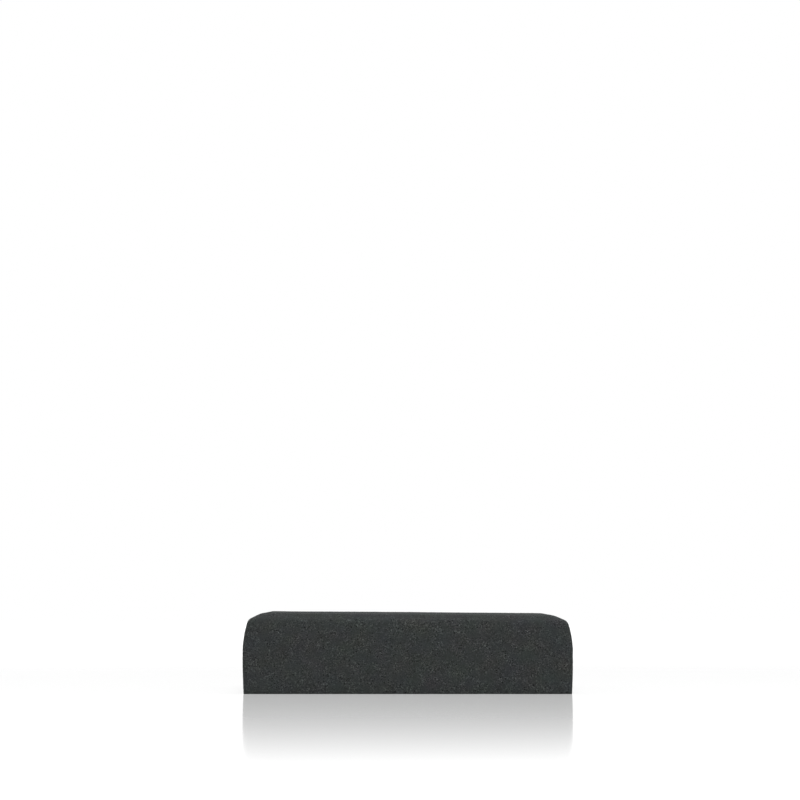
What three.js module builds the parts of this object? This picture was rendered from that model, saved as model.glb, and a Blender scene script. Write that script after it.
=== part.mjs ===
// Speaker isolation pad: one block of charcoal open-cell foam that lies flat on a shelf or a desk.
//
// The pad is punched out of a foam sheet. The foam is squeezed before it is cut, so its upper edge comes
// out soft all the way round: the flat top rolls over into a sloping border, the border ends in a rounded
// shoulder, the sides swell to their widest line at about half the height, and the foot draws in a little.
//
// Millimetres, +Z up. The origin is the middle of the underside, and the front face looks along -Y.
import * as THREE from "three";

// The block.
const PAD_WIDTH = 184; // side to side, at the widest line
const PAD_DEPTH = 241; // front to back, at the widest line
const PAD_HEIGHT = 44.5; // the thickness of the foam sheet

// The edge in section, in the order of the walk from the flat top down to the foot.
const ROLLOVER_RADIUS = 10; // rolls the flat top over into the border
const BORDER_SLOPE = 25; // degrees below level
const BORDER_RUN = 4.4; // the border's straight part, along its slope
const SHOULDER_RADIUS = 4.2;
const SIDE_LEAN = 16.5; // degrees off upright, where the side leaves the shoulder
const SIDE_RADIUS = 57; // the swell of the side, from the shoulder to the widest line
const FOOT_INSET = 0.5; // from the widest line to the edge of the underside

// The upright corners in plan.
const CORNER_RADIUS = 2; // at the widest line
const CORNER_EASING = 0.6; // millimetres of radius gained for each millimetre inside the widest line

// Fineness of the facets.
const BEND_STEPS = 8; // in each bend of the section
const CORNER_STEPS = 8; // round each corner of the plan

const UPRIGHT = Math.PI / 2;

// The section as a list of rings from the top down: how far each lies inside the widest line, and its height.
function edgeSection() {
  const walk = [{ out: 0, down: 0 }];
  const slope = THREE.MathUtils.degToRad(BORDER_SLOPE);
  const underShoulder = UPRIGHT - THREE.MathUtils.degToRad(SIDE_LEAN);

  // Walks on along an arc, while the heading turns from one angle below level to another.
  function bend(radius, from, to) {
    const start = walk.at(-1);
    for (let step = 1; step <= BEND_STEPS; step++) {
      const heading = from + ((to - from) * step) / BEND_STEPS;
      walk.push({
        out: start.out + radius * (Math.sin(heading) - Math.sin(from)),
        down: start.down + radius * (Math.cos(from) - Math.cos(heading)),
      });
    }
    return walk.at(-1);
  }

  const border = bend(ROLLOVER_RADIUS, 0, slope);
  walk.push({
    out: border.out + BORDER_RUN * Math.cos(slope),
    down: border.down + BORDER_RUN * Math.sin(slope),
  });
  bend(SHOULDER_RADIUS, slope, underShoulder);
  const widest = bend(SIDE_RADIUS, underShoulder, UPRIGHT);

  // One shallow arc, tangent at the widest line, takes up the height that is left.
  const footHeight = PAD_HEIGHT - widest.down;
  const footTurn = 2 * Math.atan(FOOT_INSET / footHeight);
  bend(footHeight / Math.sin(footTurn), UPRIGHT, UPRIGHT + footTurn);

  return walk.map(({ out, down }) => ({ inset: widest.out - out, z: PAD_HEIGHT - down }));
}

// The plan at one ring: a rectangle with round corners, anticlockwise from above. The corners ease towards
// the top, where the soft border of one side runs into that of the next.
function planOutline({ inset, z }) {
  const radius = CORNER_RADIUS + CORNER_EASING * inset;
  const x = PAD_WIDTH / 2 - inset - radius;
  const y = PAD_DEPTH / 2 - inset - radius;
  const corners = [
    [x, y],
    [-x, y],
    [-x, -y],
    [x, -y],
  ];
  return corners.flatMap(([cornerX, cornerY], corner) =>
    Array.from({ length: CORNER_STEPS + 1 }, (_, step) => {
      const angle = (corner + step / CORNER_STEPS) * UPRIGHT;
      return [cornerX + radius * Math.cos(angle), cornerY + radius * Math.sin(angle), z];
    }),
  );
}

// A closed skin over a stack of like outlines, from the top one down, with a flat cap at each end.
function loft(outlines) {
  const count = outlines[0].length;
  const bottom = (outlines.length - 1) * count;
  const faces = [];
  for (let upper = 0; upper < bottom; upper += count) {
    const lower = upper + count;
    for (let i = 0; i < count; i++) {
      const next = (i + 1) % count;
      faces.push(upper + i, lower + i, lower + next);
      faces.push(upper + i, lower + next, upper + next);
    }
  }
  const flat = outlines[0].map(([x, y]) => new THREE.Vector2(x, y));
  for (const [a, b, c] of THREE.ShapeUtils.triangulateShape(flat, [])) {
    faces.push(a, b, c);
    faces.push(bottom + a, bottom + c, bottom + b);
  }
  const geometry = new THREE.BufferGeometry();
  geometry.setAttribute("position", new THREE.Float32BufferAttribute(outlines.flat(2), 3));
  geometry.setIndex(faces);
  geometry.computeVertexNormals();
  return geometry;
}

const charcoalFoam = new THREE.MeshStandardMaterial({
  name: "charcoal foam",
  color: 0x363838,
  roughness: 0.95,
  metalness: 0,
});

const foamPad = new THREE.Mesh(loft(edgeSection().map(planOutline)), charcoalFoam);
foamPad.name = "foam_pad";

const isolationPad = new THREE.Group();
isolationPad.name = "speaker isolation pad";
isolationPad.add(foamPad);

export default isolationPad;
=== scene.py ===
import math

import bmesh
import bpy
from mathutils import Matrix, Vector


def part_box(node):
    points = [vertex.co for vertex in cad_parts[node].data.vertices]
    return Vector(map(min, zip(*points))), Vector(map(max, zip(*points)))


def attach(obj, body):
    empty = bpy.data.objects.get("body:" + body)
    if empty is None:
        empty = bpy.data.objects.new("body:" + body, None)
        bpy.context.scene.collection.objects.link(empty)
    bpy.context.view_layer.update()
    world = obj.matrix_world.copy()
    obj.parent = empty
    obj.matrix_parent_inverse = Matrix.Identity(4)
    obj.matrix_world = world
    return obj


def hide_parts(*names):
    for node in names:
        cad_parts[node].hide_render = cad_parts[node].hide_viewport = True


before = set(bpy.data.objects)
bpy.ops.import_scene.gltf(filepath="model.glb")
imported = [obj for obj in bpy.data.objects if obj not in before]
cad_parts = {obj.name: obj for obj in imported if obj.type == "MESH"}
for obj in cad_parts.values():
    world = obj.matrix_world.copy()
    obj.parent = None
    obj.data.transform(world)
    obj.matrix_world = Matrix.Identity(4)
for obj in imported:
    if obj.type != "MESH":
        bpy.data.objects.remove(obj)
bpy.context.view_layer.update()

# Camera
# It stands three metres in front of the pad behind a long lens, a little higher than the pad's top, so the
# top shows only as a thin strip. The photograph is 800 pixels square, and the pad lies low in it.
PHOTO_SIDE = 800  # pixels, as are the next three
PAD_WIDTH_SEEN = 330.6
PAD_MIDDLE_SEEN = 407.8  # from the left
PAD_FOOT_SEEN = 694.1  # from the top
CAMERA_DISTANCE = 3.0  # from the front face
CAMERA_HEIGHT = 0.06

pad_low, pad_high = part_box("foam_pad")
metres_a_pixel = (pad_high.x - pad_low.x) / PAD_WIDTH_SEEN
aim_x = (PHOTO_SIDE / 2 - PAD_MIDDLE_SEEN) * metres_a_pixel
aim_z = (PAD_FOOT_SEEN - PHOTO_SIDE / 2) * metres_a_pixel
tilt = math.atan2(aim_z - CAMERA_HEIGHT, CAMERA_DISTANCE)

camera_data = bpy.data.cameras.new("camera")
camera_data.lens = camera_data.sensor_width * CAMERA_DISTANCE * math.cos(tilt) / (PHOTO_SIDE * metres_a_pixel)
camera = bpy.data.objects.new("camera", camera_data)
camera.location = (aim_x, pad_low.y - CAMERA_DISTANCE, CAMERA_HEIGHT)
camera.rotation_euler = (math.pi / 2 + tilt, 0, 0)
bpy.context.scene.collection.objects.link(camera)
bpy.context.scene.camera = camera

# Foam pad
# One block of charcoal open-cell foam, punched out of a thick sheet while it is squeezed, which leaves the
# soft border round its top. It has no cover, so cut cells show on every face.
SKIN_SPACING = 0.00114  # between the points of the skin
SKIN_SCATTER = 0.0002  # how far a point may lie from its place in the even grid
TOP_LEAN = 0.0014  # the top's left end stands this much higher than its right end
LEAN_FADE = 5.0  # how fast the lean dies out below the top
SWELL_DEPTH = 0.0003  # the slow waves that the cutting leaves, from hollow to crest
SWELL_LENGTH = 0.03
CLUMP_DEPTH = 0.0001  # hollows a few cells wide
CLUMP_LENGTH = 0.0035
CELL_DEPTH = 0.0001  # single cells cut deeper or shallower
SKIN_SEED = 7
MERGE_REACH = 0.000001  # corners of the block this close are one


def add_node(tree, kind, settings=(), **inputs):
    """A new node with its settings made, and its inputs given a value or linked to another node's output. An
    input is called by its name, or by its number after an underscore."""
    node = tree.nodes.new(kind)
    for name, value in dict(settings).items():
        setattr(node, name, value)
    for name, value in inputs.items():
        socket = node.inputs[int(name[1:])] if name[0] == "_" else node.inputs[name.replace("_", " ")]
        if isinstance(value, bpy.types.NodeSocket):
            tree.links.new(value, socket)
        else:
            socket.default_value = value
    return node


def calculate(tree, operation, *values):
    """The result of a Math node."""
    inputs = {f"_{place}": value for place, value in enumerate(values)}
    return add_node(tree, "ShaderNodeMath", {"operation": operation}, **inputs).outputs[0]


def calculate_vector(tree, operation, *vectors, **inputs):
    """The result of a Vector Math node."""
    inputs.update({f"_{place}": vector for place, vector in enumerate(vectors)})
    return add_node(tree, "ShaderNodeVectorMath", {"operation": operation}, **inputs).outputs[0]


def add_up(tree, start, *parts):
    """The start value, plus each part's value times its weight."""
    total = start
    for value, weight in parts:
        total = calculate(tree, "MULTIPLY_ADD", value, weight, total)
    return total


def foam_skin_tree():
    """Draws a fine skin onto a block, roughens it and leans its top. The skin is a box of even squares, each
    point of which goes to the nearest place on the block. The underside stays flat on the ground."""
    tree = bpy.data.node_groups.new("foam skin", "GeometryNodeTree")
    new_socket = tree.interface.new_socket
    new_socket("Block", in_out="INPUT", socket_type="NodeSocketGeometry")
    sizes = ["Spacing", "Scatter", "Top Lean", "Lean Fade", "Cell Depth"]
    sizes += ["Swell Depth", "Swell Length", "Clump Depth", "Clump Length"]
    for name in sizes:
        new_socket(name, in_out="INPUT", socket_type="NodeSocketFloat")
    new_socket("Seed", in_out="INPUT", socket_type="NodeSocketInt")
    new_socket("Foam", in_out="INPUT", socket_type="NodeSocketMaterial")
    new_socket("Skin", in_out="OUTPUT", socket_type="NodeSocketGeometry")
    given = tree.nodes.new("NodeGroupInput").outputs

    # The box of even squares round the block.
    bounds = add_node(tree, "GeometryNodeBoundBox", Geometry=given["Block"]).outputs
    size = calculate_vector(tree, "SUBTRACT", bounds["Max"], bounds["Min"])
    corner_sum = calculate_vector(tree, "ADD", bounds["Max"], bounds["Min"])
    middle = calculate_vector(tree, "SCALE", corner_sum, Scale=0.5)
    sides = add_node(tree, "ShaderNodeSeparateXYZ", Vector=size).outputs
    points = {f"Vertices_{axis}": calculate(tree, "DIVIDE", sides[axis], given["Spacing"]) for axis in "XYZ"}
    box = add_node(tree, "GeometryNodeMeshCube", Size=size, **points)

    # Each point above the ground is moved a little at random, and then all are moved onto the block. The
    # place of a point is read afresh at each step.
    place = add_node(tree, "GeometryNodeInputPosition").outputs[0]
    here = add_node(tree, "ShaderNodeSeparateXYZ", Vector=place).outputs
    reach = add_node(tree, "ShaderNodeCombineXYZ", X=given["Scatter"], Y=given["Scatter"], Z=given["Scatter"])
    back = calculate_vector(tree, "SCALE", reach.outputs[0], Scale=-1.0)
    draw = {"_0": back, "_1": reach.outputs[0], "Seed": given["Seed"]}
    scatter = add_node(tree, "FunctionNodeRandomValue", {"data_type": "FLOAT_VECTOR"}, **draw).outputs[0]
    above = calculate(tree, "GREATER_THAN", here["Z"], calculate(tree, "MULTIPLY", given["Spacing"], 0.5))
    placed = add_node(tree, "GeometryNodeSetPosition", Geometry=box.outputs["Mesh"], Offset=middle).outputs[0]
    loose = add_node(tree, "GeometryNodeSetPosition", Geometry=placed, Selection=above, Offset=scatter)
    nearest = add_node(tree, "GeometryNodeProximity", {"target_element": "FACES"}, _0=given["Block"]).outputs
    drawn = add_node(tree, "GeometryNodeSetPosition", Geometry=loose.outputs[0], Position=nearest["Position"])

    # The roughness, as much out of the block as into it.
    waves = []
    for name in ("Swell", "Clump"):
        scale = calculate(tree, "DIVIDE", 1.0, given[f"{name} Length"])
        noise = add_node(tree, "ShaderNodeTexNoise", Vector=place, Scale=scale, Detail=1.0)
        waves.append((calculate(tree, "SUBTRACT", noise.outputs[0], 0.5), given[f"{name} Depth"]))
    numbers = {"data_type": "FLOAT"}
    cell = add_node(tree, "FunctionNodeRandomValue", numbers, _2=-0.5, _3=0.5, Seed=given["Seed"]).outputs[1]
    relief = add_up(tree, 0.0, *waves, (cell, given["Cell Depth"]))
    normal = add_node(tree, "GeometryNodeInputNormal").outputs[0]
    outwards = calculate_vector(tree, "SCALE", normal, Scale=relief)
    rough = add_node(tree, "GeometryNodeSetPosition", Geometry=drawn.outputs[0], Offset=outwards)

    # The lean of the top, and the flat underside.
    across = calculate(tree, "DIVIDE", here["X"], sides["X"])
    height_share = calculate(tree, "DIVIDE", here["Z"], sides["Z"])
    faded = calculate(tree, "POWER", height_share, given["Lean Fade"])
    lean = calculate(tree, "MULTIPLY", calculate(tree, "MULTIPLY", across, faded), given["Top Lean"])
    height = calculate(tree, "MAXIMUM", calculate(tree, "SUBTRACT", here["Z"], lean), 0.0)
    level = add_node(tree, "ShaderNodeCombineXYZ", X=here["X"], Y=here["Y"], Z=height)
    leaning = add_node(tree, "GeometryNodeSetPosition", Geometry=rough.outputs[0], Position=level.outputs[0])

    smooth = add_node(tree, "GeometryNodeSetShadeSmooth", _0=leaning.outputs[0])
    whole = add_node(tree, "GeometryNodeRealizeInstances", _0=smooth.outputs[0])
    painted = add_node(tree, "GeometryNodeSetMaterial", _0=whole.outputs[0], Material=given["Foam"])
    add_node(tree, "NodeGroupOutput", Skin=painted.outputs[0])
    return tree


# The foam's colour, and how much lighter or darker each thing that shows in it is, as a share of it; the
# pores, the cells and the glints add painted shade and painted highlights.
FOAM_COLOUR = (0.037, 0.0405, 0.0397)
HUE_DRIFT = 0.2  # how far the dye's red, green and blue wander apart
HUE_LENGTH = 0.012
FOAM_ROUGHNESS = 0.95
FOAM_SPECULAR = 0.25
CELL_SIZE = 0.0007
CELL_SHADE_AND_GLINT = 0.2  # the lightest cell against the darkest: painted shade in deeper cells, painted reflection off closed cell windows
STRUT_REACH = 0.25  # from the middle of a strut to its edge, as a share of the cell
STRUT_LIGHT = 0.5
# Flecks of painted glint, where a cut wall would catch the light.
FLECK_SIZE = 0.00045
GLINT_FLECK_LIGHT = 0.9
FLECK_RARITY = 3.0  # the higher it is, the fewer flecks get the painted glint
PORE_SPACING = 0.0013  # between the single large pores
PORE_REACH = 0.34  # the radius of the largest, as a share of the spacing
PORE_LEAST = 0.01  # added to each radius
PORE_RIM = (0.7, 1.1)  # where a pore's painted shade ends, as shares of its radius
PORE_PAINTED_SHADE = -0.75
WALL_LENGTH = 0.0009  # of the cut pieces of wall between large pores that get a painted glint
WALL_RIM = (0.04, 0.16)  # where a wall's painted glint ends, as shares of the spacing
WALL_GLINT_KEPT = (0.55, 0.65)  # the lower these are, the more pieces show the painted glint
WALL_GLINT_LIGHT = 1.1
MEAN_LIGHT = 0.58  # of all these together, taken off again
PATCH_SIZE = 0.006  # stretches of open cells and of closer ones
PATCH_RANGE = (0.3, 0.7)  # of the cloud, from the closest cells to the most open
CLOSE_CONTRAST = 0.24
OPEN_CONTRAST = 1.36
DARKEST = 0.15  # the share of the colour that is left where the painted shade is deepest

# The fine relief, in which a strut stands one step proud.
RELIEF_STEP = 0.0002
RELIEF_STRENGTH = 0.6
CELL_STEPS = 0.6
PORE_STEPS = -1.5


def ramp(tree, value, start, end, low=0.0, high=1.0):
    """Goes evenly from low to high while the value goes from start to end, and stays level outside them."""
    inputs = {"From_Min": start, "From_Max": end, "To_Min": low, "To_Max": high}
    return add_node(tree, "ShaderNodeMapRange", Value=value, **inputs).outputs[0]


def cell_pattern(tree, place, size, feature="F1"):
    """The outputs of a pattern of cells of about the given size."""
    return add_node(tree, "ShaderNodeTexVoronoi", {"feature": feature}, Vector=place, Scale=1 / size).outputs


def cloud_pattern(tree, place, length, detail):
    """The outputs of a cloudy pattern with waves of about the given length."""
    return add_node(tree, "ShaderNodeTexNoise", Vector=place, Scale=1 / length, Detail=detail).outputs


def cell_numbers(tree, cells):
    """Three random numbers for each cell, called Red, Green and Blue."""
    return add_node(tree, "ShaderNodeSeparateColor", Color=cells["Color"]).outputs


def charcoal_foam():
    """Cut open-cell foam. Each cell shows as a dark pore in a net of paler struts, painted shade darkens the
    deeper cells and the large pores, and here and there a painted glint stands for a cut wall that catches
    the light."""
    material = bpy.data.materials.new("charcoal foam")
    material.use_nodes = True
    tree = material.node_tree
    shader = tree.nodes["Principled BSDF"]
    place = add_node(tree, "ShaderNodeTexCoord").outputs["Object"]

    net = cell_pattern(tree, place, CELL_SIZE, "DISTANCE_TO_EDGE")
    strut = ramp(tree, net["Distance"], 0.0, STRUT_REACH, 1.0, 0.0)
    # Each cell's first random number sets its painted shade or reflection; its second sets its relief.
    cell = cell_numbers(tree, cell_pattern(tree, place, CELL_SIZE))
    fleck = cell_numbers(tree, cell_pattern(tree, place, FLECK_SIZE))
    # A painted glint on a few of the flecks.
    painted_glint = calculate(tree, "POWER", fleck["Red"], FLECK_RARITY)

    # Painted shade inside the large pores, as if light did not reach into them.
    pores = cell_pattern(tree, place, PORE_SPACING)
    radius = calculate(tree, "MULTIPLY_ADD", cell_numbers(tree, pores)["Red"], PORE_REACH, PORE_LEAST)
    pore = ramp(tree, calculate(tree, "DIVIDE", pores["Distance"], radius), *PORE_RIM, 1.0, 0.0)
    # Painted glints on pieces of the walls between large pores, as if they caught the light.
    walls = cell_pattern(tree, place, PORE_SPACING, "DISTANCE_TO_EDGE")
    wall = ramp(tree, walls["Distance"], *WALL_RIM, 1.0, 0.0)
    glinting = ramp(tree, cloud_pattern(tree, place, WALL_LENGTH, 0.0)[0], *WALL_GLINT_KEPT)
    wall_glint = calculate(tree, "MULTIPLY", wall, glinting)

    # The foam's lightness: the struts' paler tone, with painted shade in cells and pores and painted glints.
    light = add_up(
        tree, -MEAN_LIGHT, (strut, STRUT_LIGHT), (cell["Red"], CELL_SHADE_AND_GLINT), (painted_glint, GLINT_FLECK_LIGHT),
        (pore, PORE_PAINTED_SHADE), (wall_glint, WALL_GLINT_LIGHT)
    )
    # Stretches of open cells get more of this painted shade and glint, closer ones less.
    patches = cloud_pattern(tree, place, PATCH_SIZE, 1.0)[0]
    contrast = ramp(tree, patches, *PATCH_RANGE, CLOSE_CONTRAST, OPEN_CONTRAST)
    share = calculate(tree, "MAXIMUM", add_up(tree, 1.0, (light, contrast)), DARKEST)

    # Each of red, green and blue has a cloud of its own.
    clouds = cloud_pattern(tree, place, HUE_LENGTH, 1.0)["Color"]
    drift = [HUE_DRIFT * part for part in FOAM_COLOUR]
    lowest = [(1 - HUE_DRIFT / 2) * part for part in FOAM_COLOUR]
    dye = calculate_vector(tree, "MULTIPLY_ADD", clouds, drift, lowest)
    colour = calculate_vector(tree, "SCALE", dye, Scale=share)
    tree.links.new(colour, shader.inputs["Base Color"])

    height = add_up(tree, strut, (cell["Green"], CELL_STEPS), (pore, PORE_STEPS))
    bump = add_node(tree, "ShaderNodeBump", Strength=RELIEF_STRENGTH, Distance=RELIEF_STEP, Height=height)
    tree.links.new(bump.outputs[0], shader.inputs["Normal"])
    shader.inputs["Roughness"].default_value = FOAM_ROUGHNESS
    shader.inputs["Specular IOR Level"].default_value = FOAM_SPECULAR
    return material


def merged_copy(node):
    """A copy of a node whose loose triangles share their corners."""
    copy = bpy.data.objects.new("block", node.data.copy())
    bpy.context.scene.collection.objects.link(copy)
    triangles = bmesh.new()
    triangles.from_mesh(copy.data)
    bmesh.ops.remove_doubles(triangles, verts=triangles.verts, dist=MERGE_REACH)
    triangles.to_mesh(copy.data)
    triangles.free()
    return copy


def plain_piece(name, carrier, tree, values):
    """A plain mesh of what the tree makes on the carrier, which is removed."""
    modifier = carrier.modifiers.new("tree", "NODES")
    modifier.node_group = tree
    for item in tree.interface.items_tree:
        if item.name in values:
            modifier[item.identifier] = values[item.name]
    evaluated = carrier.evaluated_get(bpy.context.evaluated_depsgraph_get())
    piece = bpy.data.objects.new(name, bpy.data.meshes.new_from_object(evaluated))
    bpy.context.scene.collection.objects.link(piece)
    bpy.data.objects.remove(carrier)
    return piece


pad = plain_piece(
    "isolation_pad",
    merged_copy(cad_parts["foam_pad"]),
    foam_skin_tree(),
    {
        "Spacing": SKIN_SPACING,
        "Scatter": SKIN_SCATTER,
        "Top Lean": TOP_LEAN,
        "Lean Fade": LEAN_FADE,
        "Cell Depth": CELL_DEPTH,
        "Swell Depth": SWELL_DEPTH,
        "Swell Length": SWELL_LENGTH,
        "Clump Depth": CLUMP_DEPTH,
        "Clump Length": CLUMP_LENGTH,
        "Seed": SKIN_SEED,
        "Foam": charcoal_foam(),
    },
)
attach(pad, "root")
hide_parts("foam_pad")

# Floor
# A wide white sheet with a faint gloss, which fades out some way in front of the pad. To the eye the sheet is
# as white as the backdrop, apart from the pad's soft shadow and its mirror image.
FLOOR_REACH = 6.0
FLOOR_WHITE = 0.92
GLOSS_SHARE = 0.65  # of the gloss that a plain varnish has
GLOSS_ENDS = 1.5  # in front of the pad
GLOSS_ROUGHNESS = 0.08
VARNISH_IOR = 1.45
SHADE_SHARE = 0.4  # how much of the sheet's own light and shade shows near the pad
EYE_WHITE = 1.2  # over white, to make up for the sheet's own shade

floor_mesh = bpy.data.meshes.new("floor")
corners = [(x * FLOOR_REACH, y * FLOOR_REACH, 0) for x, y in ((-1, -1), (1, -1), (1, 1), (-1, 1))]
floor_mesh.from_pydata(corners, [], [(0, 1, 2, 3)])
floor = bpy.data.objects.new("floor", floor_mesh)
bpy.context.scene.collection.objects.link(floor)


def seen_ray(tree):
    """One for a ray that comes from the camera, a mirror or glass, and zero for one that lights the pad."""
    ray = add_node(tree, "ShaderNodeLightPath").outputs
    straight = calculate(tree, "MAXIMUM", ray["Is Camera Ray"], ray["Is Glossy Ray"])
    return calculate(tree, "MAXIMUM", straight, ray["Is Transmission Ray"])


def white_sheet():
    """White to the eye, and a dull white for the light that falls on it. Near the pad it has a gloss."""
    material = bpy.data.materials.new("white sheet")
    material.use_nodes = True
    tree = material.node_tree
    tree.nodes.clear()
    place = add_node(tree, "ShaderNodeTexCoord").outputs["Object"]
    distance = add_node(tree, "ShaderNodeVectorMath", {"operation": "LENGTH"}, _0=place).outputs["Value"]
    away = ramp(tree, distance, pad_high.y, pad_high.y + GLOSS_ENDS)
    near = calculate(tree, "SUBTRACT", 1.0, calculate(tree, "MULTIPLY", away, away))

    dull = add_node(tree, "ShaderNodeBsdfDiffuse", Color=(FLOOR_WHITE, FLOOR_WHITE, FLOOR_WHITE, 1))
    white = add_node(tree, "ShaderNodeEmission", Strength=EYE_WHITE)
    seen_white = calculate(tree, "MULTIPLY", seen_ray(tree), add_up(tree, 1.0, (near, -SHADE_SHARE)))
    plain = add_node(tree, "ShaderNodeMixShader", _0=seen_white, _1=dull.outputs[0], _2=white.outputs[0])

    gloss = add_node(tree, "ShaderNodeBsdfGlossy", Color=(1, 1, 1, 1), Roughness=GLOSS_ROUGHNESS)
    fresnel = add_node(tree, "ShaderNodeFresnel", IOR=VARNISH_IOR).outputs[0]
    shine = calculate(tree, "MULTIPLY", fresnel, calculate(tree, "MULTIPLY", near, GLOSS_SHARE))
    whole = add_node(tree, "ShaderNodeMixShader", _0=shine, _1=plain.outputs[0], _2=gloss.outputs[0])
    add_node(tree, "ShaderNodeOutputMaterial", Surface=whole.outputs[0])
    return material


floor_mesh.materials.append(white_sheet())

# Light
# Plain studio light: a pale room, a wide soft lamp overhead, a smaller one in front, and two weak ones, on
# the right and behind on the left.
ROOM_LIGHT = 0.2


def soft_lamp(name, place, side, power):
    """A square lamp that faces the pad, and that neither the camera nor a mirror image shows."""
    data = bpy.data.lights.new(name, "AREA")
    data.size = side
    data.energy = power
    lamp = bpy.data.objects.new(name, data)
    lamp.location = place
    middle = (pad_low + pad_high) / 2
    lamp.rotation_euler = (middle - Vector(place)).to_track_quat("-Z", "Y").to_euler()
    lamp.visible_camera = False
    lamp.visible_glossy = False
    bpy.context.scene.collection.objects.link(lamp)


soft_lamp("overhead", place=(0.1, -0.25, 1.9), side=1.2, power=26.5)
soft_lamp("front", place=(0.2, -1.8, 0.4), side=0.8, power=7.5)
soft_lamp("right", place=(1.7, -0.4, 0.4), side=0.8, power=2.5)
soft_lamp("back left", place=(-1.2, 1.5, 0.8), side=0.8, power=5.0)

room = bpy.data.worlds.new("room")
room.use_nodes = True
air = room.node_tree
air.nodes.clear()
strength = ramp(air, seen_ray(air), 0.0, 1.0, ROOM_LIGHT, 1.0)
glow = add_node(air, "ShaderNodeBackground", Color=(1, 1, 1, 1), Strength=strength)
add_node(air, "ShaderNodeOutputWorld", Surface=glow.outputs[0])
bpy.context.scene.world = room
bpy.context.scene.view_settings.view_transform = "Standard"
